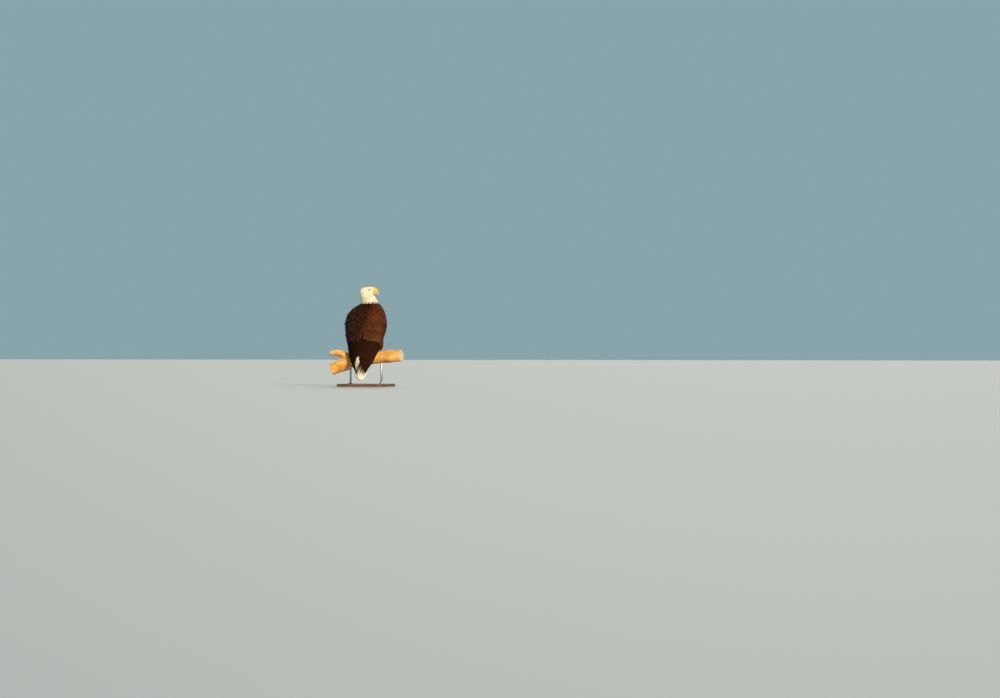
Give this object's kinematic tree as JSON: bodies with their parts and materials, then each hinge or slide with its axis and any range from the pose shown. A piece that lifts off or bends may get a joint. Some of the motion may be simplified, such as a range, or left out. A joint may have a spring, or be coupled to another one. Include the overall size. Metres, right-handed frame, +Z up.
{
  "type": "bald eagle",
  "caption": "Life-size bald eagle at rest with folded wings and head turned to its right, gripping a cut length of bare dead limb held on a plain display stand.",
  "frame": {"origin": "on the floor, centre of the underside of the stand's base", "axes": "+Z up; the bird's body faces -Y and its left side is +X; the limb runs along X and the tail hangs at +Y"},
  "size_m": [0.6075, 0.32, 0.7801],
  "materials": {
    "white_feather": "soft matte white feather",
    "brown_feather": "matte dark brown feather with paler edges",
    "flight_feather": "faintly glossy blackish brown flight feather",
    "bill_horn": "satin orange-yellow horn",
    "eye_iris": "wet pale yellow eye",
    "foot_skin": "scaly yellow skin",
    "talon_horn": "smooth black horn",
    "dead_wood": "bare weathered golden-tan wood",
    "stand_wood": "dark satin wood",
    "stand_steel": "brushed steel"
  },
  "bodies": {
    "root": {"bill_lower": "bill_horn", "bill_upper": "bill_horn", "eye_left": "eye_iris", "eye_right": "eye_iris", "foot_left": "foot_skin", "foot_right": "foot_skin", "head": "white_feather", "leg_left": "brown_feather", "leg_right": "brown_feather", "neck": "white_feather", "perch_limb": "dead_wood", "perch_stub": "dead_wood", "primaries_left": "flight_feather", "primaries_right": "flight_feather", "stand_base": "stand_wood", "stand_rod_left": "stand_steel", "stand_rod_right": "stand_steel", "tail": "white_feather", "talon_left_hind": "talon_horn", "talon_left_inner": "talon_horn", "talon_left_middle": "talon_horn", "talon_left_outer": "talon_horn", "talon_right_hind": "talon_horn", "talon_right_inner": "talon_horn", "talon_right_middle": "talon_horn", "talon_right_outer": "talon_horn", "trunk": "brown_feather", "wing_left": "brown_feather", "wing_right": "brown_feather"}
  },
  "joints": []
}
